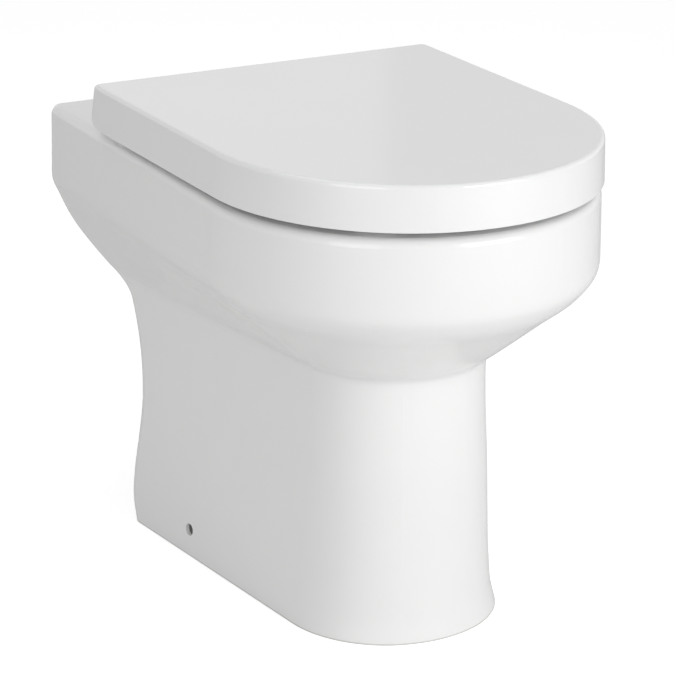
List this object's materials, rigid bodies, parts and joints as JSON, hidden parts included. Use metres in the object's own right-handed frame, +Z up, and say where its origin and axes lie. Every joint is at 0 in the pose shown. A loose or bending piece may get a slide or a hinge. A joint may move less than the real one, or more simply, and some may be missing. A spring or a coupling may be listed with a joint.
{
  "type": "back-to-wall toilet pan",
  "caption": "Back-to-wall toilet pan with a slim pedestal, slanted underside, hinged soft-close seat ring and flat wrap-over lid.",
  "frame": {"origin": "on the floor under the middle of the whole box, on the centre line", "axes": "+X to the right of a person who faces the pan, +Y to the wall, +Z up"},
  "size_m": [0.3632, 0.5342, 0.4524],
  "materials": {
    "china": "gloss white glaze",
    "thermoset": "gloss white urea moulding",
    "hinge_chrome": "polished",
    "steel": "satin",
    "nylon": "natural nylon",
    "damper_plastic": "acetal",
    "black_rubber": "matt",
    "clear_rubber": "milky translucent"
  },
  "bodies": {
    "pan": {"pan": "china", "flush_inlet_seal": "black_rubber", "floor_bracket_left": "nylon", "floor_bracket_right": "nylon", "fixing_sleeves": "nylon", "side_screws": "steel", "hinge_bracket_left": "hinge_chrome", "hinge_bracket_right": "hinge_chrome", "hinge_pin_left": "steel", "hinge_pin_right": "steel", "base_gaskets": "clear_rubber", "hinge_studs": "steel", "deck_bushes": "black_rubber", "stud_washers": "steel", "wing_nuts": "nylon", "seat_damper_rotor": "damper_plastic", "lid_damper_rotor": "damper_plastic"},
    "seat": {"seat_ring": "thermoset", "seat_bush": "damper_plastic", "seat_buffers": "clear_rubber", "seat_damper_body": "damper_plastic", "seat_damper_cap": "damper_plastic"},
    "lid": {"lid": "thermoset", "lid_bush": "damper_plastic", "lid_buffers": "clear_rubber", "lid_damper_body": "damper_plastic", "lid_damper_cap": "damper_plastic"}
  },
  "joints": [
    {"name": "seat_lift", "type": "hinge", "parent": "pan", "child": "seat", "pos_m": [0, 0.1421, 0.435], "axis": [-1, 0, 0], "range_deg": [0, 95]},
    {"name": "lid_lift", "type": "hinge", "parent": "seat", "child": "lid", "pos_m": [0, 0.1421, 0.435], "axis": [-1, 0, 0], "range_deg": [0, 90]}
  ]
}
